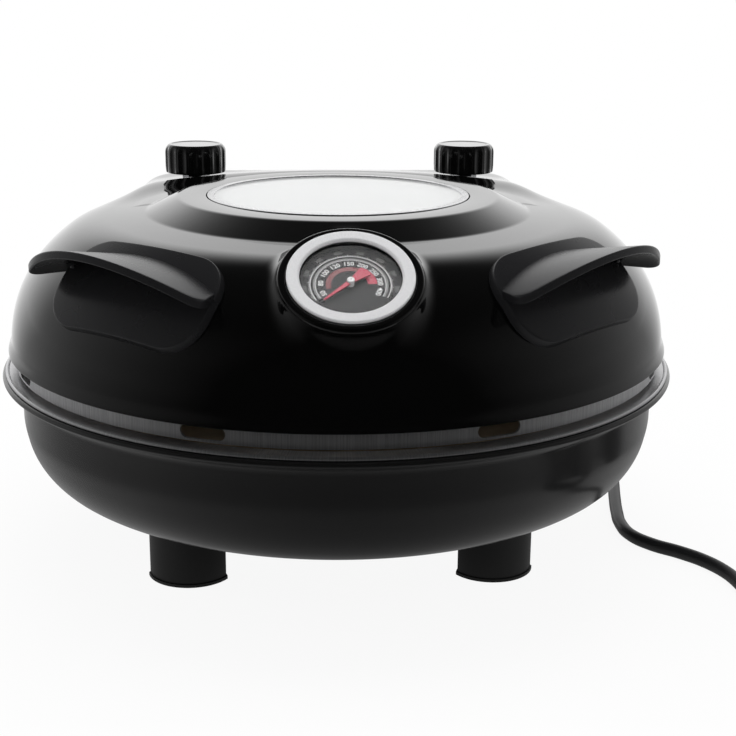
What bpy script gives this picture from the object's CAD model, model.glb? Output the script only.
import math

import bpy
import numpy as np
from mathutils import Matrix, Vector


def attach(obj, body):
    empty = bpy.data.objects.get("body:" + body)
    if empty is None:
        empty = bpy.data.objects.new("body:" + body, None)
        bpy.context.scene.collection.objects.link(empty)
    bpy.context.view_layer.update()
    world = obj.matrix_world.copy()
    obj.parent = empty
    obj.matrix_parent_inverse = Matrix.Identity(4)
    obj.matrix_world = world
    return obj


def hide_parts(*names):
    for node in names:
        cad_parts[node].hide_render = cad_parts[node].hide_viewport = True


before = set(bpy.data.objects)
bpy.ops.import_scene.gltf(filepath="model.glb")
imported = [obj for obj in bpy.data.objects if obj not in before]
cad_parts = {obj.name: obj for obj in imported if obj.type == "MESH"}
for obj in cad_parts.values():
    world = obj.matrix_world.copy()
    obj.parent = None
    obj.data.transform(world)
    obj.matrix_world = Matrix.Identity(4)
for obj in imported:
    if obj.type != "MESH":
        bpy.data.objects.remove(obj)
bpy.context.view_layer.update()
MM = 0.001

# ---------- sizes, in millimetres, as in the part's source; only the pod's wall is 0.6 thinner ----------
RIM_R, BOWL_R, RIM_Z, BOTTOM_Z, SHEET = 172.5, 165.0, 101.0, 17.0, 1.6
LID_R, LID_Z, SHOULDER_H, PLATEAU_H, PLATEAU_R = 167.5, 112.0, 66.5, 7.5, 82.0
LIP_W, LIP_H = 1.4, 5.0
WINDOW_R, WINDOW_RING, GLASS_T = 67.0, 3.6, 3.0
PLATFORM_W, PLATFORM_Y, PLATFORM_FRONT = 105.0, 150.0, 10.0
KNOB_X, KNOB_Y, KNOB_R, KNOB_H, FLUTES = 80.0, 122.0, 17.9, 16.5, 16
GAUGE_R, GAUGE_RING, GAUGE_TILT, GAUGE_Y, GAUGE_H = 27.4, 5.6, 58.0, 140.0, 61.5
LEFT_HANDLE_A, RIGHT_HANDLE_A = 41.2, 44.3
PAD_W, PAD_H, PAD_T, PAD_CORNER, PAD_SHIFT = 91.0, 46.0, 4.0, 19.0, 3.7
BLADE_T, BLADE_REACH = 3.6, 175.0

DOME_Z, DOME_H, DOME_M, DOME_N = LID_Z - 4.8, SHOULDER_H + 27, 2.36, 2.53
SHOULDER_Z = LID_Z + SHOULDER_H
PLATEAU_Z = SHOULDER_Z + PLATEAU_H
RISER_W, SHOULDER_DROP, SHOULDER_BLEND = 16.0, 0.08, 5.0
PLATFORM_Z = SHOULDER_Z - 0.5
WINDOW_SEAT, GASKET_T, RING_RISE, KNOB_LIFT, RING_T = 5, 1.5, 0.8, 2.5, 1.5
WINDOW_FLOOR = PLATEAU_Z - WINDOW_SEAT
GLASS_Z = WINDOW_FLOOR + GASKET_T
KNOB_Z = PLATFORM_Z + KNOB_LIFT
GAUGE_Z = LID_Z + GAUGE_H
CAN_R = GAUGE_R - 1.1
POD_R = GAUGE_R + 4.0
POD_DEPTH, DIAL_DEPTH = 48.0, 6.2
WINDOW_HOLE_R = WINDOW_R - 7.7

# ---------- camera, fitted to the photograph's rim, lid edge, window ring and plateau ----------
CAMERA_AT = Vector((-27.8, -716.1, 297.2)) * MM
CAMERA_AZ, CAMERA_EL, CAMERA_ROLL = math.radians(-3.5), math.radians(15.916), math.radians(0.436)
CAMERA_LENS = 68.48


def make_camera():
    """The camera that sees the object as the photograph does."""
    back = Vector((
        math.sin(CAMERA_AZ) * math.cos(CAMERA_EL),
        -math.cos(CAMERA_AZ) * math.cos(CAMERA_EL),
        math.sin(CAMERA_EL),
    ))
    right = Vector((math.cos(CAMERA_AZ), math.sin(CAMERA_AZ), 0))
    up = back.cross(right)
    c, s = math.cos(CAMERA_ROLL), math.sin(CAMERA_ROLL)
    x_axis, y_axis = c * right + s * up, -s * right + c * up
    data = bpy.data.cameras.new("camera")
    data.lens = CAMERA_LENS
    data.sensor_width = 36
    data.clip_end = 20
    cam = bpy.data.objects.new("camera", data)
    bpy.context.scene.collection.objects.link(cam)
    turn = Matrix((x_axis, y_axis, back)).transposed().to_4x4()
    cam.matrix_world = Matrix.Translation(CAMERA_AT) @ turn
    bpy.context.scene.camera = cam


make_camera()

# ---------- materials ----------


class Nodes:
    """Short names for building a material's node tree."""

    def __init__(self, name):
        self.mat = bpy.data.materials.new(name)
        self.mat.use_nodes = True
        self.tree = self.mat.node_tree
        self.bsdf = self.tree.nodes["Principled BSDF"]
        self.coords = self.add("ShaderNodeTexCoord").outputs["Object"]

    def add(self, kind, **values):
        """A new node; each value goes to the node's setting or input of that name."""
        node = self.tree.nodes.new(kind)
        for key, value in values.items():
            if hasattr(node, key):
                setattr(node, key, value)
            else:
                node.inputs[key.replace("_", " ")].default_value = value
        return node

    def link(self, a, b):
        self.tree.links.new(a, b)

    def set(self, **values):
        """Values for the main shader's inputs; three numbers are a colour."""
        for key, value in values.items():
            name = key.replace("_", " ")
            if isinstance(value, tuple) and len(value) == 3:
                value = (*value, 1)
            self.bsdf.inputs[name].default_value = value

    def noise(self, scale, detail=3, stretch=None, coords=None):
        """A noise pattern, by default in the object's own metres."""
        coords = coords or self.coords
        if stretch:
            m = self.add("ShaderNodeMapping")
            m.inputs["Scale"].default_value = stretch
            self.link(coords, m.inputs["Vector"])
            coords = m.outputs["Vector"]
        n = self.add("ShaderNodeTexNoise")
        n.inputs["Scale"].default_value = scale
        n.inputs["Detail"].default_value = detail
        self.link(coords, n.inputs["Vector"])
        return n.outputs["Fac"]

    def ramp(self, source, low, high):
        """A pattern carried from nought to one into low to high."""
        r = self.add("ShaderNodeMapRange")
        r.inputs["To Min"].default_value = low
        r.inputs["To Max"].default_value = high
        self.link(source, r.inputs["Value"])
        return r.outputs["Result"]

    def mix_colour(self, source, a, b, low=0.35, high=0.65):
        """Colour a where the pattern is low, b where it is high."""
        r = self.add("ShaderNodeValToRGB")
        r.color_ramp.elements[0].position = low
        r.color_ramp.elements[0].color = (*a, 1)
        r.color_ramp.elements[1].position = high
        r.color_ramp.elements[1].color = (*b, 1)
        self.link(source, r.inputs["Fac"])
        return r.outputs["Color"]

    def bump(self, source, strength, distance):
        """Fine relief from a pattern; distance is in metres."""
        b = self.add("ShaderNodeBump")
        b.inputs["Strength"].default_value = strength
        b.inputs["Distance"].default_value = distance
        self.link(source, b.inputs["Height"])
        self.link(b.outputs["Normal"], self.bsdf.inputs["Normal"])

    def around(self, across, along):
        """Coordinates that run round the Z axis, for grain that stands across a round strip."""
        split = self.add("ShaderNodeSeparateXYZ")
        self.link(self.coords, split.inputs[0])
        angle = self.add("ShaderNodeMath", operation="ARCTAN2")
        self.link(split.outputs["Y"], angle.inputs[0])
        self.link(split.outputs["X"], angle.inputs[1])
        wide = self.add("ShaderNodeMath", operation="MULTIPLY")
        wide.inputs[1].default_value = across
        self.link(angle.outputs[0], wide.inputs[0])
        tall = self.add("ShaderNodeMath", operation="MULTIPLY")
        tall.inputs[1].default_value = along
        self.link(split.outputs["Z"], tall.inputs[0])
        join = self.add("ShaderNodeCombineXYZ")
        self.link(wide.outputs[0], join.inputs["X"])
        self.link(tall.outputs[0], join.inputs["Y"])
        return join.outputs[0]


def gloss_paint(name, colour=(0.001, 0.001, 0.001), rough=(0.05, 0.11), coat=0.6, coat_rough=0.03):
    """Dark enamel under a clear coat, with a faint orange peel."""
    m = Nodes(name)
    m.set(Base_Color=colour, Specular_IOR_Level=0.5, Coat_Weight=coat, Coat_Roughness=coat_rough)
    m.link(m.ramp(m.noise(9, 4), *rough), m.bsdf.inputs["Roughness"])
    m.bump(m.noise(160, 2), 0.05, 0.0003)
    return m.mat


def plastic(name, colour, rough=(0.32, 0.45), grain=1400, depth=0.12, specular=0.5):
    """Moulded plastic, rubber or flat paint with a fine grain."""
    m = Nodes(name)
    m.set(Base_Color=colour, Specular_IOR_Level=specular)
    m.link(m.ramp(m.noise(30, 4), *rough), m.bsdf.inputs["Roughness"])
    m.bump(m.noise(grain, 3), depth, 0.0002)
    return m.mat


def steel(name, light=(0.62, 0.62, 0.63), dark=(0.42, 0.42, 0.43), rough=(0.22, 0.38), ring=False):
    """Brushed steel; with ring its grain stands upright round the Z axis."""
    m = Nodes(name)
    m.set(Metallic=1.0)
    if ring:
        grain = m.noise(1, 4, coords=m.around(260, 30))
    else:
        grain = m.noise(60, 5, stretch=(1, 18, 1))
    m.link(m.mix_colour(grain, dark, light, 0.3, 0.7), m.bsdf.inputs["Base Color"])
    m.link(m.ramp(grain, *rough), m.bsdf.inputs["Roughness"])
    m.bump(grain, 0.08, 0.0001)
    return m.mat


def bright_metal(
    name, light=(0.86, 0.86, 0.87), dark=(0.66, 0.66, 0.67), rough=(0.16, 0.3), scale=700, metal=1.0,
):
    """Bright trim with a fine, even grain."""
    m = Nodes(name)
    m.set(Metallic=metal)
    grain = m.noise(scale, 3)
    m.link(m.mix_colour(grain, dark, light), m.bsdf.inputs["Base Color"])
    m.link(m.ramp(m.noise(scale * 0.6, 3), *rough), m.bsdf.inputs["Roughness"])
    m.bump(grain, 0.1, 0.0001)
    return m.mat


def mineral(name, light, dark, scale=90, rough=(0.7, 0.9), depth=0.4):
    """Stone, ceramic or scale: two tones in patches and a rough face."""
    m = Nodes(name)
    m.link(m.mix_colour(m.noise(scale, 8), dark, light, 0.25, 0.75), m.bsdf.inputs["Base Color"])
    m.link(m.ramp(m.noise(scale * 4, 4), *rough), m.bsdf.inputs["Roughness"])
    m.bump(m.noise(scale * 7, 6), depth, 0.0006)
    return m.mat


def clear(name, tint, rough=0.03, weight=0.9, index=1.45):
    """Glass; weight is the share of light that it lets through."""
    m = Nodes(name)
    m.set(Base_Color=tint, Roughness=rough, Transmission_Weight=weight, IOR=index)
    m.bump(m.noise(14, 2), 0.02, 0.0005)
    return m.mat


MATERIALS = {
    "shell": gloss_paint("shell_black"),
    "bowl": gloss_paint("bowl_black", (0.004, 0.004, 0.004), (0.2, 0.3), coat_rough=0.16),
    "strip": steel("pan_steel", (0.92, 0.92, 0.93), (0.66, 0.66, 0.67), (0.28, 0.42), ring=True),
    "zinc": steel("zinc_steel", (0.66, 0.67, 0.69), (0.5, 0.51, 0.52)),
    "clip": steel("clip_steel", (0.6, 0.6, 0.6), (0.42, 0.42, 0.42)),
    "ring": bright_metal("ring_metal"),
    "bezel": bright_metal("bezel_metal", (0.84, 0.84, 0.85), (0.76, 0.76, 0.77), (0.45, 0.6), 1800, 0.25),
    "handle": plastic("handle_plastic", (0.012, 0.012, 0.013), (0.22, 0.32)),
    "knob": gloss_paint("knob_black", (0.003, 0.003, 0.003), (0.08, 0.14), coat=1.0, coat_rough=0.08),
    "foot": plastic("foot_plastic", (0.004, 0.004, 0.004), (0.4, 0.5)),
    "hinge": plastic("hinge_paint", (0.03, 0.03, 0.032), (0.38, 0.5), 900),
    "cord": plastic("cord_rubber", (0.012, 0.012, 0.013), (0.34, 0.44), 1800),
    "tie": plastic("tie_plastic", (0.03, 0.03, 0.032), (0.4, 0.5)),
    "block": plastic("block_plastic", (0.72, 0.69, 0.62), (0.4, 0.5)),
    "stone": mineral("stone_face", (0.66, 0.55, 0.4), (0.5, 0.4, 0.28)),
    "element": mineral("element_skin", (0.13, 0.12, 0.11), (0.06, 0.055, 0.05), 200, (0.5, 0.65), 0.15),
    "ceramic": mineral("white_ceramic", (0.8, 0.78, 0.72), (0.7, 0.68, 0.62), 160, (0.4, 0.55), 0.1),
    "gasket": plastic("gasket_rubber", (0.01, 0.01, 0.01), (0.55, 0.7)),
    "brass": bright_metal("brass_strip", (0.75, 0.56, 0.28), (0.6, 0.43, 0.2)),
    "dial": plastic("dial_paint", (0.014, 0.014, 0.015), (0.4, 0.5), 2200, 0.08, 0.15),
    "print": plastic("white_print", (0.8, 0.8, 0.8), (0.45, 0.55), 2200, 0.05),
    "faint": plastic("grey_print", (0.2, 0.2, 0.2), (0.45, 0.55), 2200, 0.05),
    "red": plastic("red_print", (0.16, 0.025, 0.03), (0.4, 0.5), 2200, 0.05),
    "bright_red": plastic("bright_red_print", (0.45, 0.02, 0.06), (0.4, 0.5), 2200, 0.05),
    "pink": plastic("pink_print", (0.6, 0.25, 0.28), (0.4, 0.5), 2200, 0.05),
    "hand": plastic("pointer_paint", (0.42, 0.012, 0.05), (0.35, 0.45), 2200, 0.05),
    "lens": clear("lens_glass", (1.0, 1.0, 1.0), 0.0, 1.0, 1.2),
    "glass": clear("window_glass", (0.9, 0.91, 0.91), 0.12, 0.35),
}

CAD_MATERIALS = {
    "base_inner_pan": "strip", "lid_inner_pan": "strip", "window_sleeve": "strip",
    "pizza_stone": "stone",
    "lower_heating_element": "element", "upper_heating_element": "element",
    "lower_element_clips": "clip", "upper_element_clips": "clip", "thermal_cutout": "clip",
    "thermometer_case": "clip",
    "lower_element_insulators": "ceramic", "upper_element_insulators": "ceramic",
    "left_thermostat": "ceramic", "right_thermostat": "ceramic",
    "front_left_foot": "foot", "front_right_foot": "foot",
    "rear_left_foot": "foot", "rear_right_foot": "foot",
    "foot_screws": "zinc", "bracket_screws": "zinc", "arm_screws": "zinc", "handle_screws": "zinc",
    "hinge_pins": "zinc", "thermostat_nuts": "zinc", "left_control_shaft": "zinc",
    "right_control_shaft": "zinc", "thermometer_stem": "zinc", "thermometer_nut": "zinc", "plug_pins": "zinc",
    "left_hinge_bracket": "hinge", "right_hinge_bracket": "hinge",
    "left_lid_arm": "hinge", "right_lid_arm": "hinge",
    "terminal_block": "block",
    "cord_strain_relief": "cord", "power_plug": "cord", "cord_tie": "tie",
    "window_gasket": "gasket", "window_glass": "glass", "thermometer_lens": "lens",
    "thermometer_dial": "dial", "thermometer_bimetal": "brass",
}
for name, key in CAD_MATERIALS.items():
    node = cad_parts[name]
    node.data.materials.clear()
    node.data.materials.append(MATERIALS[key])

# ---------- mesh helpers ----------


def add_mesh(name, points, faces, material, body, replaces=(), smooth=True, sharp_deg=None):
    """Makes an object from points in millimetres and lets it ride on a body."""
    mesh = bpy.data.meshes.new(name)
    mesh.from_pydata((np.asarray(points, float) * MM).tolist(), [], faces)
    mesh.validate()
    mesh.update()
    obj = bpy.data.objects.new(name, mesh)
    bpy.context.scene.collection.objects.link(obj)
    mesh.materials.append(MATERIALS[material])
    for p in mesh.polygons:
        p.use_smooth = smooth
    if sharp_deg:
        mesh.set_sharp_from_angle(angle=math.radians(sharp_deg))
    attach(obj, body)
    if replaces:
        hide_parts(*replaces)
    return obj


def grid_faces(rows, cols, close_rows=False, flip=False):
    """Quads between rows of points that each run round in a loop."""
    faces = []
    last = rows if close_rows else rows - 1
    for i in range(last):
        for j in range(cols):
            a = i * cols + j
            b = i * cols + (j + 1) % cols
            c = ((i + 1) % rows) * cols + (j + 1) % cols
            d = ((i + 1) % rows) * cols + j
            faces.append((a, d, c, b) if flip else (a, b, c, d))
    return faces


def arc(centre_x, centre_y, radius, from_deg, to_deg, steps):
    """Points along an arc, with both its ends."""
    angles = [math.radians(from_deg + (to_deg - from_deg) * k / steps) for k in range(steps + 1)]
    return [(centre_x + radius * math.cos(a), centre_y + radius * math.sin(a)) for a in angles]


def round_corners(profile, radii, steps=5):
    """Profile points with each corner that has a radius turned into a short arc."""
    out = []
    n = len(profile)
    for i, (p, r) in enumerate(zip(profile, radii)):
        if not r:
            out.append(tuple(p))
            continue
        a, b, c = (Vector(profile[(i + k) % n]).to_2d() for k in (-1, 0, 1))
        u, v = (a - b), (c - b)
        share = 0.48  # an arc takes a little less than half of the side between two corners
        reach = min(r, u.length * share, v.length * share)
        u.normalize()
        v.normalize()
        p0, p2 = b + u * reach, b + v * reach
        for k in range(steps + 1):
            t = k / steps
            q = (1 - t) ** 2 * p0 + 2 * t * (1 - t) * b + t * t * p2
            out.append((q.x, q.y))
    return out


def placed(points, matrix):
    """Points moved by a four by four matrix."""
    return np.c_[points, np.ones(len(points))] @ np.array(matrix).T[:, :3]


def revolve(name, profile, material, body, replaces=(), sides=256, place=None):
    """Turns a closed profile of (radius, height) points round Z. place is a matrix in millimetres."""
    pts = []
    angles = [2 * math.pi * j / sides for j in range(sides)]
    for r, z in profile:
        for a in angles:
            pts.append((r * math.cos(a), r * math.sin(a), z))
    faces = grid_faces(len(profile), sides, close_rows=True)
    pts = np.array(pts)
    if place is not None:
        pts = placed(pts, place)
    return add_mesh(name, pts, faces, material, body, replaces, sharp_deg=35)


# ---------- lid surface ----------

MOUND_DEG, MOUND_LOW, MOUND_BLEND, MOUND_BACK = 20.0, 2.6, 5.0, -82.0
LID_SIDES = 720


def dome_at(r):
    """The dome's height at a radius."""
    q = np.clip(1 - np.power(np.clip(r / LID_R, 0, 1), DOME_M), 0, None)
    return DOME_Z + DOME_H * np.power(q, 1 / DOME_N)


def dome_r_at(z):
    """The dome's radius at a height."""
    q = 1 - np.power(np.clip((z - DOME_Z) / DOME_H, 0, 1), DOME_N)
    return LID_R * np.power(q, 1 / DOME_M)


def shoulder_at(r):
    """The height of the nearly flat shoulder round the plateau."""
    return SHOULDER_Z - SHOULDER_DROP * (r - PLATEAU_R - RISER_W)


def lid_top_at(r):
    """The lid's height at a radius, with the dome running into its shoulder."""
    r = np.array([r])
    return float(soft_min(dome_at(r), shoulder_at(r), SHOULDER_BLEND)[0])


def soft_min(a, b, k):
    """The smaller of two values, blended where they lie less than k apart."""
    return np.minimum(a, b) - np.power(np.maximum(k - np.abs(a - b), 0) / k, 2) * k / 4


def soft_max(a, b, k):
    """The larger of two values, blended where they lie less than k apart."""
    return -soft_min(-a, -b, k)


def dome_distance(p):
    """About how far points lie outside the dome and its shoulder."""
    r = np.hypot(p[:, 0], p[:, 1])
    h = np.maximum(p[:, 2] - DOME_Z, 0)
    q = np.power(r / LID_R, DOME_M) + np.power(h / DOME_H, DOME_N)
    slope = np.hypot(
        DOME_M / LID_R * np.power(r / LID_R, DOME_M - 1),
        DOME_N / DOME_H * np.power(h / DOME_H, DOME_N - 1),
    )
    side = (q - 1) / np.maximum(slope, 1e-4)
    return soft_max(side, p[:, 2] - shoulder_at(r), SHOULDER_BLEND)


def platform_distance(p):
    """About how far points lie outside the control platform, with rounded edges."""
    edge, corner, foot_out = 5.0, 8.0, 6.0
    x, y, z = np.abs(p[:, 0]), p[:, 1], p[:, 2]
    r = np.hypot(x, y)
    top = z - PLATFORM_Z
    side = (x - PLATFORM_W + top) / math.sqrt(2)
    low_y, low_z = LID_R - 1.5, LID_Z + 8
    slope = (low_y - PLATFORM_Y) / (PLATFORM_Z - low_z)
    rear = (y - PLATFORM_Y + slope * top) / math.hypot(1, slope)
    lean = foot_out / (PLATFORM_Z - low_z)
    cone = (r - (LID_R + 2) - lean * top) / math.hypot(1, lean)
    wall = soft_max(soft_max(side, rear, corner), cone, corner)
    wall = np.maximum(wall, PLATFORM_FRONT - y)
    return soft_max(wall, top, edge)


def gauge_coords(p):
    """Distance of points from the thermometer's axis, and their height along it from the ring's face."""
    t = math.radians(GAUGE_TILT)
    y, z = p[:, 1] + GAUGE_Y, p[:, 2] - GAUGE_Z
    return np.hypot(p[:, 0], y * math.sin(t) + z * math.cos(t)), z * math.sin(t) - y * math.cos(t)


def mound_distance(p):
    """About how far points lie outside the cone that carries the thermometer."""
    r, h = gauge_coords(p)
    top_round, back_round = 1.5, 6.0
    lean, low = math.radians(MOUND_DEG), h + MOUND_LOW
    cone = soft_max((r - POD_R) * math.cos(lean) + low * math.sin(lean), low, top_round)
    return soft_max(cone, p[:, 1] - MOUND_BACK, back_round)


def lid_distance(p):
    """The lid's surface: dome, platform and mound, with a fillet that widens down the platform's sides."""
    fillet_top, fillet_low, fillet_from, fillet_run = 2.0, 12.0, 106, 24
    t = np.clip((np.hypot(p[:, 0], p[:, 1]) - fillet_from) / fillet_run, 0, 1)
    blend = fillet_top + fillet_low * t * t * (3 - 2 * t)
    return soft_min(soft_min(dome_distance(p), platform_distance(p), blend), mound_distance(p), MOUND_BLEND)


def lid_profile():
    """The lid's outline as (radius, height) from its lip to the window, and the same closed by its inside."""
    lip, foot, ledge = LID_R + LIP_W, PLATEAU_R + RISER_W, 2.5
    profile = [(lip - 1.2, LID_Z), (lip - 0.3, LID_Z + 0.1), (lip, LID_Z + 0.4)]
    profile += [(lip, LID_Z + 1), (lip - 0.3, LID_Z + 2), (LID_R + 0.6, LID_Z + 3.6)]
    profile.append((float(dome_r_at(LID_Z + LIP_H)) + 0.1, LID_Z + LIP_H))
    profile += [(float(dome_r_at(z)), z) for z in np.arange(LID_Z + 6.5, LID_Z + 30, 1.3)]
    upper_radii = (np.arange(profile[-1][0] - 0.6, 140, -0.75), np.arange(140, foot + 2, -1.1))
    profile += [(float(r), lid_top_at(r)) for r in np.concatenate(upper_radii)]
    corner = [
        profile[-1], (foot, SHOULDER_Z), (PLATEAU_R, PLATEAU_Z), (WINDOW_R + 0.5, PLATEAU_Z),
        (WINDOW_R + 0.3, WINDOW_FLOOR), (WINDOW_HOLE_R, WINDOW_FLOOR), (WINDOW_HOLE_R, WINDOW_FLOOR - ledge),
        (WINDOW_R + 4, WINDOW_FLOOR - ledge),
    ]
    profile += round_corners(corner, [0, 2.4, 1.4, 0.4, 0, 0.3, 0, 0], 6)[1:]
    under = [(78, PLATEAU_Z - SHEET), (foot - SHEET, SHOULDER_Z - 1.8)]
    under += [(r, lid_top_at(r + SHEET) - 2.2) for r in range(100, 150, 6)]
    under += [(float(dome_r_at(LID_Z + h)) - 1.7, LID_Z + h) for h in (40, 30, 20, 10, 5)]
    under += [(lip - 1.9, LID_Z + 2), (lip - 1.6, LID_Z + 0.2)]
    return profile, profile + under


def make_lid():
    """The lid's skin: rings of points pushed out from its middle until they meet platform and mound."""
    outer, profile = lid_profile()
    tries, slack, stride = 40, 0.002, 0.8
    moved_from_z, moved_from_r = LID_Z + LIP_H + 1, PLATEAU_R + RISER_W - 8
    a = np.linspace(0, 2 * math.pi, LID_SIDES, endpoint=False)
    rows = []
    centre = np.array([0.0, 0.0, LID_Z - 14])
    for i, (r, z) in enumerate(profile):
        p = np.stack([r * np.cos(a), r * np.sin(a), np.full(LID_SIDES, z)], 1)
        if i < len(outer) and z > moved_from_z and r > moved_from_r:
            way = p - centre
            way /= np.linalg.norm(way, axis=1)[:, None]
            for _ in range(tries):
                gap = lid_distance(p)
                step = np.where(gap < -slack, -gap * stride, 0)
                p = p + way * step[:, None]
        rows.append(p)
    pts = np.concatenate(rows)
    faces = np.array(grid_faces(len(profile), LID_SIDES, close_rows=True))
    r, h = gauge_coords(pts[faces].mean(1))
    faces = faces[(r > POD_R - 2) | (h < -POD_DEPTH)]
    faces = [tuple(int(i) for i in f) for f in faces]
    return add_mesh("lid_skin", pts, faces, "shell", "lid", ["lid_shell"], sharp_deg=40)


make_lid()

# ---------- thermometer ----------


def gauge_matrix(depth=0.0):
    """Places things drawn flat round the thermometer's axis, at a depth behind its ring's face."""
    t = math.radians(GAUGE_TILT)
    up, out = Vector((0, math.sin(t), math.cos(t))), Vector((0, -math.cos(t), math.sin(t)))
    m = Matrix((Vector((1, 0, 0)), up, out)).transposed().to_4x4()
    return Matrix.Translation(Vector((0, -GAUGE_Y, GAUGE_Z))) @ m @ Matrix.Translation((0, 0, -depth))


def make_pod():
    """The tube round the thermometer, with the seat for its ring."""
    wall, seat = POD_R - 3, CAN_R + 0.4
    profile = [
        (POD_R, -POD_DEPTH), (POD_R, -RING_T), (GAUGE_R + 0.35, -RING_T), (GAUGE_R + 0.3, -3.2),
        (seat, -3.2), (seat, -16), (wall, -16), (wall, -POD_DEPTH),
    ]
    profile = round_corners(profile, [0, 1.8, 0.5, 0, 0, 0, 0, 0], 6)
    revolve("thermometer_pod", profile, "shell", "lid", sides=180, place=gauge_matrix())


def make_bezel():
    """The thermometer's bright ring."""
    inner, outer = GAUGE_R - GAUGE_RING, GAUGE_R
    profile = [(inner, -RING_T), (outer, -RING_T), (outer, 0), (inner + 0.8, 0), (inner, -0.9)]
    profile = round_corners(profile, [0, 0, 0.7, 0.5, 0.2], 5)
    replaced = ["thermometer_bezel"]
    revolve("thermometer_ring", profile, "bezel", "lid", replaced, 180, gauge_matrix())


make_pod()
make_bezel()


def on_dial(points, height):
    """Dial points in millimetres, drawn in the dial's plane, moved to their place on the lid."""
    flat = np.c_[np.asarray(points, float), np.full(len(points), height)]
    return placed(flat, gauge_matrix(DIAL_DEPTH))


def band(r0, r1, a0, a1, steps):
    """Outline points and faces of a flat arc band; angles run clockwise from the top."""
    pts, faces = [], []
    for k in range(steps + 1):
        a = math.radians(a0 + (a1 - a0) * k / steps)
        pts += [(r0 * math.sin(a), r0 * math.cos(a)), (r1 * math.sin(a), r1 * math.cos(a))]
        if k:
            n = 2 * k
            faces.append((n - 2, n, n + 1, n - 1))
    return pts, faces


DIAL_VALUES, DIAL_FROM, DIAL_STEP = (50, 80, 100, 120, 150, 200, 250, 300, 400), -114.0, 28.0
OUTER_FROM, OUTER_COUNT = -98, 8
NUMBER_R, NUMBER_H, OUTER_R, OUTER_H = 12.6, 3.2, 19.7, 2.6
SCALE_FROM, SCALE_TO, TICKS, TICK_HALF = -122.0, 118.0, 65, 0.45
SCALE_LINES = (("print", 17.2, 0.26, 1.3), ("faint", 15.6, 0.9, 0.0), ("print", 15.1, 0.16, -0.7))
RED_BAND, BRIGHT_BAND = (8.3, 10.6, -104, 38), (7.4, 11.4, 38, 88)
PRINT_UP, NUMBER_UP = 0.06, 0.08


def make_dial_print():
    """Arcs, ticks and coloured bands. A scale line has a material, a radius, a width and a tick's length."""
    lists = {}

    def put(key, pts, fs):
        points, faces = lists.setdefault(key, ([], []))
        n = len(points)
        points.extend(pts)
        faces.extend([tuple(n + i for i in f) for f in fs])

    for key, radius, thick, tick in SCALE_LINES:
        put(key, *band(radius - thick / 2, radius + thick / 2, SCALE_FROM, SCALE_TO, 90))
        for k in range(TICKS if tick else 0):
            a = DIAL_FROM + DIAL_STEP * (k - 2) / 8
            end = radius + tick * (1.0 if k % 4 == 2 else 0.6)
            put(key, *band(min(radius, end), max(radius, end), a - TICK_HALF, a + TICK_HALF, 1))
    put("red", *band(*RED_BAND, 60))
    put("bright_red", *band(*BRIGHT_BAND, 24))
    for k in range(7):
        put("pink", *band(8.6, 10.4, 44 + 6.5 * k, 46 + 6.5 * k, 1))
    for key, (points, faces) in lists.items():
        add_mesh("dial_" + key, on_dial(points, PRINT_UP), faces, key, "lid", smooth=False)


def numeral(value, angle, radius, height):
    """One number on the dial, upright on its radius, as a mesh in the dial's plane."""
    curve = bpy.data.curves.new("figure", "FONT")
    curve.body = str(value)
    curve.size = height
    curve.align_x = "CENTER"
    curve.align_y = "CENTER"
    curve.resolution_u = 3
    curve.offset = 0.03
    text = bpy.data.objects.new("figure", curve)
    bpy.context.scene.collection.objects.link(text)
    mesh = bpy.data.meshes.new_from_object(text.evaluated_get(bpy.context.evaluated_depsgraph_get()))
    a = math.radians(angle)
    c, s = math.cos(-a), math.sin(-a)
    pts = [(radius * math.sin(a) + c * v.co.x - s * v.co.y, radius * math.cos(a) + s * v.co.x + c * v.co.y)
           for v in mesh.vertices]
    faces = [tuple(p.vertices) for p in mesh.polygons]
    bpy.data.objects.remove(text)
    bpy.data.curves.remove(curve)
    return pts, faces


def make_numerals():
    """Two rings of numbers; each row has a name, a material, a radius, a height and its numbers."""
    main = [(value, DIAL_FROM + DIAL_STEP * k) for k, value in enumerate(DIAL_VALUES)]
    outer = [(100 * (k + 1), OUTER_FROM + DIAL_STEP * k) for k in range(OUTER_COUNT)]
    rows = (
        ("numbers", "print", NUMBER_R, NUMBER_H, main),
        ("outer_numbers", "faint", OUTER_R, OUTER_H, outer),
    )
    for name, key, radius, height, items in rows:
        pts, faces = [], []
        for value, angle in items:
            p, f = numeral(value, angle, radius, height)
            n = len(pts)
            pts += p
            faces += [tuple(n + i for i in q) for q in f]
        add_mesh("dial_" + name, on_dial(pts, NUMBER_UP), faces, key, "lid", smooth=False)


POINTER_TURN = math.radians(133)


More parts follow.
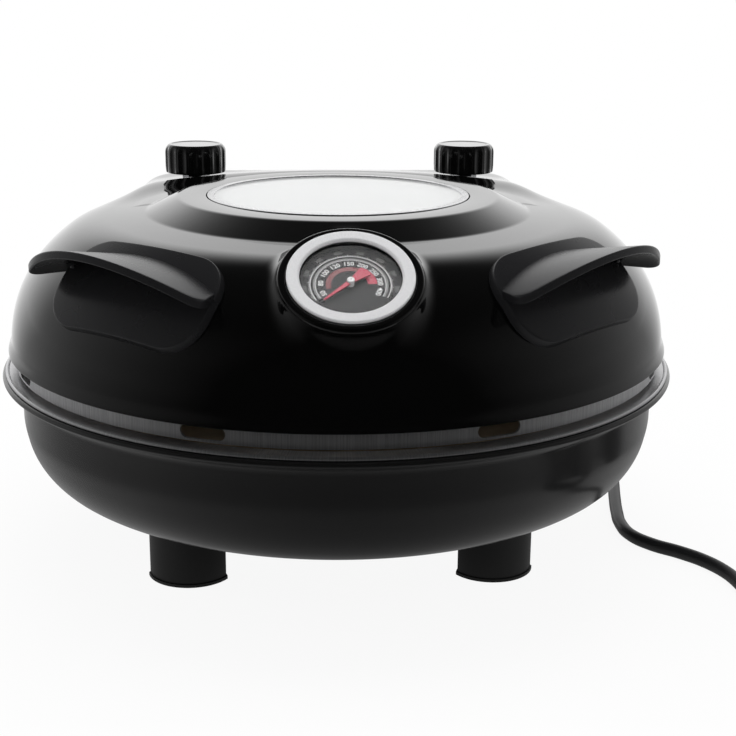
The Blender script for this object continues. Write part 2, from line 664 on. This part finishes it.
def make_pointer():
    """The red hand with its wide tail, its spindle and the white cap on it."""
    long, tail = 15.7, 10
    plan = [(-1.1, 0), (-0.4, long), (0.4, long), (1.1, 0), (3, 1 - tail), (0, -tail), (-3, 1 - tail)]
    c, s = math.cos(POINTER_TURN), math.sin(POINTER_TURN)
    n = len(plan)
    pts = []
    for height, shrink in ((1.6, 0.94), (1.7, 1.0), (2.1, 1.0), (2.2, 0.94)):
        pts += [(c * x * shrink - s * y * shrink, s * x * shrink + c * y * shrink, height) for x, y in plan]
    faces = grid_faces(4, n) + [tuple(range(n - 1, -1, -1)), tuple(range(3 * n, 4 * n))]
    place, replaced = gauge_matrix(DIAL_DEPTH), ["thermometer_pointer"]
    pts = placed(np.array(pts), place)
    add_mesh("pointer_hand", pts, faces, "hand", "pointer", replaced, smooth=False)
    cap = round_corners([(0.45, 0), (1.6, 0), (1.6, 3.3), (0.45, 3.3)], [0, 0, 0.3, 0.15], 4)
    revolve("pointer_cap", cap, "print", "pointer", sides=48, place=place)
    spindle = round_corners([(0.01, 0), (0.46, 0), (0.46, 2.9), (0.01, 2.9)], [0, 0, 0.2, 0], 3)
    revolve("pointer_spindle", spindle, "zinc", "pointer", sides=24, place=place)


make_dial_print()
make_numerals()
make_pointer()

# ---------- window ----------


def make_window_ring():
    """The bright ring that holds the window's glass down."""
    inner, outer, low = WINDOW_R - WINDOW_RING, WINDOW_R, GLASS_Z
    top = low + GLASS_T + RING_RISE
    profile = [
        (inner, low + GLASS_T), (outer - 1.4, low + GLASS_T), (outer - 1.4, low), (outer, low),
        (outer, top), (inner, top),
    ]
    profile = round_corners(profile, [0, 0, 0, 0, 0.35, 0.4], 6)
    revolve("window_ring", profile, "ring", "lid", ["window_bezel"], 256)


make_window_ring()

# ---------- knobs ----------


def make_knob(name, x, body, replaced):
    """A fluted knob. Its profile steps in from its radius, at heights up and down from its ends."""
    sides = FLUTES * 24
    flute_r, flute_cut, flute_end, flute_blend = 4.0, 0.9, 12, 0.5
    flute_at, pitch = KNOB_R + flute_r - flute_cut, 2 * math.pi / FLUTES
    skirt = [(1.2, 0.4), (0.9, 0), (0.4, 0.2), (0.2, 1.2), (0, 4)]
    crown = [(0, 5), (0.1, 3.6), (0.45, 2.4), (1.1, 1.3), (1.9, 0.45), (2.6, 0.05), (3.2, 0), (3.8, 0.12)]
    crown += [(4.2, 0.35), (5.5, 0.4)]
    profile = [(0.01, 0.4)] + [(KNOB_R - step, z) for step, z in skirt]
    profile += [(KNOB_R - step, KNOB_H - down) for step, down in crown]
    profile += [(r, KNOB_H - 0.4) for r in (8, 4, 0.01)]
    pts = []
    for r, z in profile:
        for j in range(sides):
            a = 2 * math.pi * j / sides
            b = a % pitch
            b = min(b, pitch - b)
            reach = flute_at * math.sin(b)
            limit = r
            if reach < flute_r:
                limit = flute_at * math.cos(b) - math.sqrt(flute_r ** 2 - reach ** 2)
            q = float(soft_min(np.array([r]), np.array([limit]), flute_blend)[0]) if r > flute_end else r
            pts.append((x + q * math.cos(a), KNOB_Y + q * math.sin(a), KNOB_Z + z))
    faces = grid_faces(len(profile), sides)
    add_mesh(name, pts, faces, "knob", body, [replaced], sharp_deg=50)


make_knob("left_knob_cap", -KNOB_X, "left_knob", "left_knob")
make_knob("right_knob_cap", KNOB_X, "right_knob", "right_knob")

# ---------- handles ----------


def inset(loop, distance):
    """A closed loop of plan points moved inwards; the loop runs counterclockwise."""
    loop = np.asarray(loop, float)
    ahead, behind = np.roll(loop, -1, 0), np.roll(loop, 1, 0)
    way = ahead - behind
    way /= np.linalg.norm(way, axis=1)[:, None]
    return loop + distance * np.stack([-way[:, 1], way[:, 0]], 1)


def slab(loop, centre, top, bottom, edge, rings):
    """Points and faces of a plate with rounded edges over a plan loop; top and bottom give heights."""
    edge_steps, crowding, nearly_whole = 5, 1.3, 0.999
    depths = [edge * (1 - math.cos(math.pi / 2 * k / edge_steps)) for k in range(edge_steps + 1)]
    drops = [edge - math.sqrt(max(edge ** 2 - (edge - d) ** 2, 0)) for d in depths]
    plans = [inset(loop, d) for d in depths]
    inner = inset(loop, edge)
    centre = np.asarray(centre, float)
    shares = [1 - ((j + 1) / rings) ** crowding * nearly_whole for j in range(rings)]
    fills = [centre + (inner - centre) * share for share in shares]
    rows = [np.c_[plan, top(plan)] for plan in reversed(fills)]
    rows += [np.c_[plan, top(plan) - drop] for plan, drop in zip(reversed(plans), reversed(drops))]
    rows += [np.c_[plan, bottom(plan) + drop] for plan, drop in zip(plans, drops)]
    rows += [np.c_[plan, bottom(plan)] for plan in fills]
    return np.concatenate(rows), grid_faces(len(rows), len(loop), flip=True)


def rounded_loop(w, h, r):
    """A rectangle's outline with round corners, counterclockwise, as evenly spaced points."""
    pts = []
    for x_side, y_side, start in ((1, 1, 0), (-1, 1, 90), (-1, -1, 180), (1, -1, 270)):
        pts += arc(x_side * (w / 2 - r), y_side * (h / 2 - r), r, start, start + 90, 12)
    return resample(pts, 160)


def resample(pts, count):
    """A closed loop of plan points spaced evenly along its length."""
    pts = np.asarray(pts, float)
    closed = np.vstack([pts, pts[:1]])
    steps = np.linalg.norm(np.diff(closed, axis=0), axis=1)
    along = np.concatenate([[0], np.cumsum(steps)])
    wanted = np.linspace(0, along[-1], count, endpoint=False)
    return np.stack([np.interp(wanted, along, closed[:, k]) for k in (0, 1)], 1)


PAD_AT = np.array([0.0, 147.0, LID_Z + 48.5])
PAD_LEAN = math.radians(45)


def pad_height(plan, offset):
    """Height above the pad's frame at which its lines meet the dome, offset millimetres outside it."""
    c, s = math.cos(PAD_LEAN), math.sin(PAD_LEAN)
    low, high = np.full(len(plan), -40.0), np.full(len(plan), 30.0)
    for _ in range(40):
        mid = (low + high) / 2
        y = PAD_AT[1] + plan[:, 1] * c + mid * s
        z = PAD_AT[2] - plan[:, 1] * s + mid * c
        r = np.hypot(plan[:, 0], y)
        h = np.maximum(z - DOME_Z, 0)
        outside = np.power(r / (LID_R + offset), DOME_M) + np.power(h / (DOME_H + offset), DOME_N) > 1
        high = np.where(outside, mid, high)
        low = np.where(outside, low, mid)
    return (low + high) / 2


def make_pad(side):
    """The handle's pad, which follows the dome and reaches a little into it."""
    centre, sink, edge = np.array([side * PAD_SHIFT, 0]), 0.8, 0.7
    loop = rounded_loop(PAD_W, PAD_H, PAD_CORNER) + centre
    pts, faces = slab(loop, centre, lambda p: pad_height(p, PAD_T), lambda p: pad_height(p, -sink), edge, 14)
    c, s = math.cos(PAD_LEAN), math.sin(PAD_LEAN)
    x, y, z = pts[:, 0], pts[:, 1], pts[:, 2]
    return np.stack([x, PAD_AT[1] + y * c + z * s, PAD_AT[2] - y * s + z * c], 1), faces


ARCH_R, EDGE_Z, BLADE_TILT = 122.0, LID_Z + 69.7, math.radians(10.5)
PLAN_R, TIP_R, BLADE_HALF, BLADE_BACK = 94.0, 8.0, 53.0, 124
BLADE_ROOT = PAD_W / 2 - PAD_SHIFT - 1
RIB_X, RIB_BACK, RIB_FRONT, RIB_HALF = 38, 134.0, 146.0, 1.5


def arch_height(plan, drop):
    """Height of the blade's arched face, or of its underside drop millimetres below."""
    x, y = plan[:, 0], plan[:, 1]
    fall = ARCH_R - np.sqrt(np.maximum((ARCH_R - drop) ** 2 - x ** 2, 0))
    return EDGE_Z + (math.sin(BLADE_TILT) * (y - BLADE_REACH) - fall) / math.cos(BLADE_TILT)


def make_blade():
    """The handle's blade: wider at its curved front edge than at its root."""
    inner, tip_x, edge_c = PLAN_R - TIP_R, BLADE_HALF - TIP_R, BLADE_REACH - PLAN_R
    tip_y = edge_c + math.sqrt(inner ** 2 - tip_x ** 2)
    turn = math.degrees(math.acos(tip_x / inner))
    lean = math.degrees(math.atan((BLADE_HALF - BLADE_ROOT) / (tip_y - BLADE_BACK)))
    loop = [(-BLADE_ROOT, BLADE_BACK), (BLADE_ROOT, BLADE_BACK)]
    loop += arc(tip_x, tip_y, TIP_R, -lean, turn, 10) + arc(0, edge_c, PLAN_R, turn, 180 - turn, 60)
    loop += arc(-tip_x, tip_y, TIP_R, 180 - turn, 180 + lean, 10)
    loop, centre, edge = resample(loop, 260), (0, 142), 0.8
    return slab(loop, centre, lambda p: arch_height(p, 0), lambda p: arch_height(p, BLADE_T), edge, 12)


def make_rib(x):
    """A small web under the blade, thinner at its free edge."""
    pts, depth, tip = [], 14, 0.8
    ends = np.array([(x, RIB_BACK), (x, RIB_FRONT)])
    back_z, front_z = (float(z) + 0.4 for z in arch_height(ends, BLADE_T))
    line = [(RIB_BACK, back_z - depth), (RIB_FRONT, front_z - tip), (RIB_FRONT, front_z), (RIB_BACK, back_z)]
    for aside, shrink in ((-1, 0.5), (-0.6, 0), (0.6, 0), (1, 0.5)):
        for y, z in line:
            pts.append((x + RIB_HALF * aside, y - shrink, z + shrink * 0.4))
    faces = grid_faces(4, 4) + [(3, 2, 1, 0), (12, 13, 14, 15)]
    return np.array(pts), faces


def make_handle(name, side, replaced):
    """Pad, blade and ribs as one moulding, drawn at the rear and turned to its place; side is -1 or 1."""
    pts, faces = [], []
    for p, f in (make_pad(side), make_blade(), make_rib(-RIB_X), make_rib(RIB_X)):
        n = sum(len(q) for q in pts)
        pts.append(p)
        faces += [tuple(n + i for i in q) for q in f]
    pts = np.concatenate(pts)
    a = math.radians(180 + side * (LEFT_HANDLE_A if side < 0 else RIGHT_HANDLE_A))
    c, s = math.cos(a), math.sin(a)
    pts = np.stack([c * pts[:, 0] - s * pts[:, 1], s * pts[:, 0] + c * pts[:, 1], pts[:, 2]], 1)
    add_mesh(name, pts, faces, "handle", "lid", [replaced], sharp_deg=40)


make_handle("right_handle_skin", 1, "right_handle")
make_handle("left_handle_skin", -1, "left_handle")

# ---------- bowl ----------


def make_bowl():
    """The bowl's skin, with a thinner roll and a wall further in than the solid's, as in the photograph."""
    bead, draft, draft_from, draft_over = 1.5, 1.7, 50, 20
    arc_r, slope = 38.0, 23.6
    cx, cz = BOWL_R - arc_r, RIM_Z - 21.5
    outer = arc(RIM_R - bead, RIM_Z - bead, bead, 90, -50, 14)
    flare = [outer[-1], (RIM_R - 2.6, RIM_Z - 3.6), (BOWL_R - 0.8, RIM_Z - 6), (BOWL_R - draft, RIM_Z - 18)]
    outer += round_corners(flare, [0, 1, 5, 0], 8)[1:]
    for a in np.linspace(3, 90 - slope, 22):
        z = cz - arc_r * math.sin(math.radians(a))
        drawn_in = draft * min(max((z - draft_from) / draft_over, 0), 1)
        outer.append((cx + arc_r * math.cos(math.radians(a)) - drawn_in, z))
    last = outer[-1]
    flat_r = last[0] - (last[1] - BOTTOM_Z) / math.tan(math.radians(slope))
    for t in np.linspace(0.1, 0.9, 9):
        outer.append((last[0] + (flat_r - last[0]) * t, last[1] + (BOTTOM_Z - last[1]) * t))
    outer += round_corners([outer[-1], (flat_r, BOTTOM_Z), (flat_r - 12, BOTTOM_Z)], [0, 4, 0], 5)[1:]
    outer += [(r, BOTTOM_Z) for r in (40, 20, 0.01)]
    inner = [(0.01, BOTTOM_Z + SHEET), (flat_r - 3, BOTTOM_Z + SHEET), (last[0] - 1, last[1] + SHEET)]
    for a in (math.radians(50), math.radians(30), math.radians(15)):
        inner.append((cx - draft + (arc_r - SHEET) * math.cos(a), cz - (arc_r - SHEET) * math.sin(a)))
    wall = BOWL_R - draft - 1.1
    inner += [(wall, RIM_Z - 16), (wall, RIM_Z - bead - 1)]
    inner += [(BOWL_R - 0.4, RIM_Z - 1.2), (BOWL_R + 1.2, RIM_Z - 0.6)]
    revolve("bowl_skin", outer + inner, "bowl", "base", ["base_shell"], 360)


make_bowl()

# ---------- cord ----------

ROUTE = [
    (92.5, 173.9, 62), (99, 186, 61), (106, 198, 57), (114, 209, 50), (124, 218, 40), (135, 224, 29),
    (147, 226, 18), (159, 222, 10), (169, 213, 5), (176.5, 200, 3.5), (181, 185, 3.5), (183, 168, 3.5),
    (182.5, 150, 3.5),
    (180.5, 132, 3.5), (177.5, 112, 3.5), (173.5, 92, 3.5), (169.5, 72, 3.5), (165.5, 52, 3.5),
    (161.5, 32, 3.5), (158, 12, 3.5), (156, -6, 3.5), (158, -22, 3.5), (166, -35, 3.5), (178, -46, 3.5),
    (188, -58, 3.5), (195, -73, 3.5), (198, -90, 3.5), (199, -108, 4),
]
COIL_AT, CORD_D = (241.0, -128.0), 7.0
COIL_FROM, COIL_TO, COIL_STEP, COIL_R, COIL_PITCH, COIL_Z = 180, 1080, 20, 42, 7, 4.5
CLIMB_FROM, CLIMB_OVER, CLIMB = 840, 120, 7
BACK_FROM, BACK_OVER, BACK_R, BACK_OUT = 900, 180, 28, 10.5
TAIL = [(279.5, -116, 12), (279.5, -104, 13), (279.5, -92, 15), (279.5, -80, 17.5), (279.5, -70, 18)]


def coil_points():
    """The cord's line through its coil: a flat spiral inwards and half a turn back over the top."""
    line = []
    for a in range(COIL_FROM, COIL_TO + 1, COIL_STEP):
        r = COIL_R - COIL_PITCH * (a - COIL_FROM) / 360
        z = COIL_Z
        if a > CLIMB_FROM:
            t = min((a - CLIMB_FROM) / CLIMB_OVER, 1)
            z = COIL_Z + CLIMB * t * t * (3 - 2 * t)
        if a > BACK_FROM:
            t = (a - BACK_FROM) / BACK_OVER
            r = BACK_R + BACK_OUT * t * t * (3 - 2 * t)
        t = math.radians(a)
        line.append((COIL_AT[0] + r * math.cos(t), COIL_AT[1] + r * math.sin(t), z))
    return line


def make_cord():
    """The power lead in one piece: its run round the bowl, its coil and its tail."""
    line = ROUTE + coil_points() + TAIL
    curve = bpy.data.curves.new("power_lead", "CURVE")
    curve.dimensions = "3D"
    curve.bevel_depth = CORD_D / 2 * MM
    curve.bevel_resolution = 5
    curve.resolution_u = 8
    curve.use_fill_caps = True
    spline = curve.splines.new("BEZIER")
    spline.bezier_points.add(len(line) - 1)
    for point, p in zip(spline.bezier_points, line):
        point.co = Vector(p) * MM
        point.handle_left_type = point.handle_right_type = "AUTO"
    obj = bpy.data.objects.new("power_lead", curve)
    bpy.context.scene.collection.objects.link(obj)
    curve.materials.append(MATERIALS["cord"])
    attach(obj, "base")
    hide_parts("power_cord", "cord_coil", "cord_tail")


make_cord()

# ---------- floor, light and backdrop ----------


def level_ramp(tree, value, low, high, to_low, to_high, shape="LINEAR"):
    """A value carried from the range low to high into the range to_low to to_high."""
    ramp = tree.nodes.new("ShaderNodeMapRange")
    ramp.interpolation_type = shape
    for name, number in (("From Min", low), ("From Max", high), ("To Min", to_low), ("To Max", to_high)):
        ramp.inputs[name].default_value = number
    tree.links.new(value, ramp.inputs["Value"])
    return ramp.outputs[0]


def level_math(tree, operation, a, b):
    """Two values joined by a sum, a product or the like."""
    node = tree.nodes.new("ShaderNodeMath")
    node.operation = operation
    tree.links.new(a, node.inputs[0])
    tree.links.new(b, node.inputs[1])
    return node.outputs[0]


def backdrop_share(tree):
    """One where the camera or a window looks, and one where a mirror looks."""
    path = tree.nodes.new("ShaderNodeLightPath")
    seen = level_math(tree, "MAXIMUM", path.outputs["Is Camera Ray"], path.outputs["Is Transmission Ray"])
    return seen, path.outputs["Is Glossy Ray"]


def behind_level(tree, y):
    """What a mirror sees along a direction: white behind the object, fading to a dark room in front."""
    side = level_ramp(tree, y, -0.75, 1.0, 0.01, 0.45)
    back = level_ramp(tree, y, 0.5, 0.92, 0.0, 0.55, "SMOOTHSTEP")
    return level_math(tree, "ADD", side, back)


FLOOR_HALF, FLOOR_GLOW, BOUNCE_LEVEL = 6.0, 0.92, 0.55


def make_floor():
    """A white floor that shows only the object's soft shadow; mirrors see the room's levels in it."""
    mesh = bpy.data.meshes.new("floor")
    s = FLOOR_HALF
    mesh.from_pydata([(-s, -s, 0), (s, -s, 0), (s, s, 0), (-s, s, 0)], [], [(0, 1, 2, 3)])
    floor = bpy.data.objects.new("floor", mesh)
    bpy.context.scene.collection.objects.link(floor)
    m = Nodes("floor_white")
    m.set(Base_Color=(0.9, 0.9, 0.9), Roughness=0.8, Specular_IOR_Level=0.0)
    glow = m.add("ShaderNodeEmission")
    glow.inputs["Strength"].default_value = 1.0
    mix = m.add("ShaderNodeMixShader")
    away = m.add("ShaderNodeVectorMath", operation="LENGTH")
    m.link(m.coords, away.inputs[0])
    # near the object the floor glows a little less, so that its shadow shows
    fade = level_ramp(m.tree, away.outputs["Value"], 0.25, 0.8, FLOOR_GLOW, 1.0, "SMOOTHSTEP")
    seen, mirrored = backdrop_share(m.tree)
    share = level_math(m.tree, "MAXIMUM", level_math(m.tree, "MULTIPLY", seen, fade), mirrored)
    m.link(share, mix.inputs["Fac"])
    way = m.add("ShaderNodeVectorMath", operation="NORMALIZE")
    m.link(m.coords, way.inputs[0])
    split = m.add("ShaderNodeSeparateXYZ")
    m.link(way.outputs["Vector"], split.inputs[0])
    # what mirrors see: the room's level, and some light on the floor close in front of the object
    far = behind_level(m.tree, split.outputs["Y"])
    lit = level_ramp(m.tree, split.outputs["Y"], -1.0, -0.6, 0.14, 0.32)
    close = level_ramp(m.tree, away.outputs["Value"], 0.2, 0.5, 1.0, 0.0, "SMOOTHSTEP")
    room = level_math(m.tree, "MAXIMUM", far, level_math(m.tree, "MULTIPLY", lit, close))
    level = m.add("ShaderNodeMix")
    level.inputs["A"].default_value = 1.0
    m.link(mirrored, level.inputs["Factor"])
    m.link(room, level.inputs["B"])
    m.link(level.outputs["Result"], glow.inputs["Strength"])
    m.link(m.bsdf.outputs[0], mix.inputs[1])
    m.link(glow.outputs[0], mix.inputs[2])
    m.link(mix.outputs[0], m.tree.nodes["Material Output"].inputs["Surface"])
    mesh.materials.append(m.mat)


make_floor()


LIGHT_TARGET = (0, 0, 0.1)


def area_light(name, at, size, watts):
    """A rectangular lamp that faces the object."""
    data = bpy.data.lights.new(name, "AREA")
    data.shape = "RECTANGLE"
    data.size, data.size_y = size
    data.energy = watts
    lamp = bpy.data.objects.new(name, data)
    bpy.context.scene.collection.objects.link(lamp)
    lamp.location = at
    lamp.rotation_euler = (Vector(LIGHT_TARGET) - Vector(at)).to_track_quat("-Z", "Y").to_euler()
    return lamp


key = area_light("key", (0.0, 0.1, 1.7), (1.4, 1.0), 16)
left = area_light("left_side", (-1.6, 0.5, 0.5), (0.5, 0.9), 6)
right = area_light("right_side", (1.6, 0.5, 0.5), (0.5, 0.9), 6)
for lamp in (key, left, right):
    lamp.visible_glossy = False


def make_world():
    """White all round for the camera; mirrors see it white behind and fading to a dark room in front."""
    world = bpy.data.worlds.new("studio")
    bpy.context.scene.world = world
    world.use_nodes = True
    tree = world.node_tree
    tree.nodes.clear()
    out = tree.nodes.new("ShaderNodeOutputWorld")
    seen, mirrored = backdrop_share(tree)
    coords = tree.nodes.new("ShaderNodeTexCoord")
    split = tree.nodes.new("ShaderNodeSeparateXYZ")
    tree.links.new(coords.outputs["Generated"], split.inputs[0])
    high = level_ramp(tree, split.outputs["Z"], 0.3, 0.85, 1.0, 0.12, "SMOOTHSTEP")
    room = level_math(tree, "MULTIPLY", behind_level(tree, split.outputs["Y"]), high)

    def choose(share, without, with_it):
        node = tree.nodes.new("ShaderNodeMix")
        tree.links.new(share, node.inputs["Factor"])
        for socket, value in ((node.inputs["A"], without), (node.inputs["B"], with_it)):
            if isinstance(value, float):
                socket.default_value = value
            else:
                tree.links.new(value, socket)
        return node.outputs["Result"]

    level = choose(seen, choose(mirrored, BOUNCE_LEVEL, room), 1.0)
    glow = tree.nodes.new("ShaderNodeBackground")
    glow.inputs["Color"].default_value = (1, 1, 1, 1)
    tree.links.new(level, glow.inputs["Strength"])
    tree.links.new(glow.outputs[0], out.inputs["Surface"])


make_world()

bpy.context.scene.view_settings.view_transform = "Standard"
